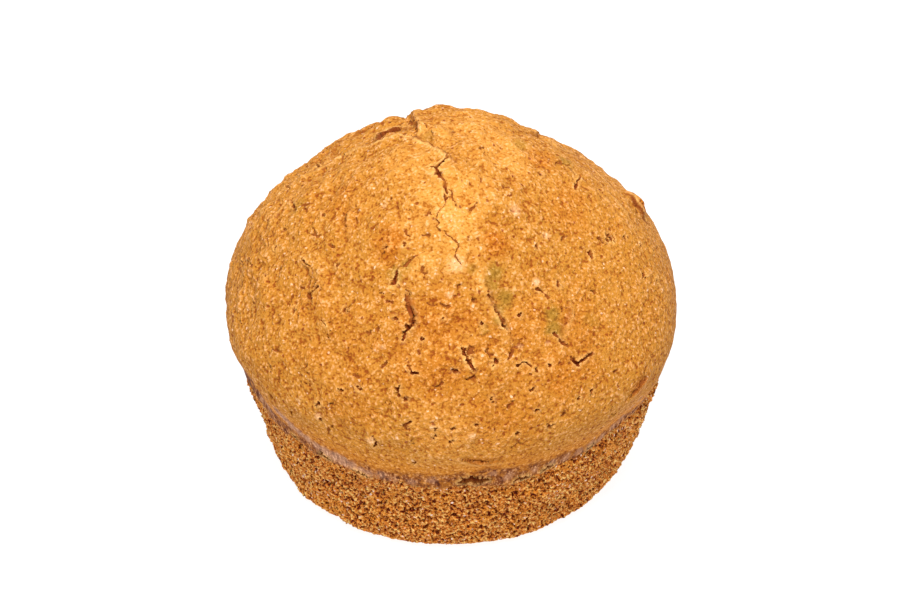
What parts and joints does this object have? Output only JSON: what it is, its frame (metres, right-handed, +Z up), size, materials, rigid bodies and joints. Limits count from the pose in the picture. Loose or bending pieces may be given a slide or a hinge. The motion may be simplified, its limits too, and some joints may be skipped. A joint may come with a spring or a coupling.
{
  "type": "cupcake",
  "caption": "Plain domed cupcake baked without a paper case, with a cracked brown crust over a short crumbly wall and a flat underside.",
  "frame": {"origin": "middle of the flat underside", "axes": "+Z up through the peak of the dome, the front with the cracks and the lowest band facing -Y, +X to the right seen from the front"},
  "size_m": [0.076, 0.0764, 0.0622],
  "materials": {
    "baked_crust": "dry golden-brown baked crust and open crumb, matt"
  },
  "bodies": {
    "root": {"cupcake": "baked_crust"}
  },
  "joints": []
}
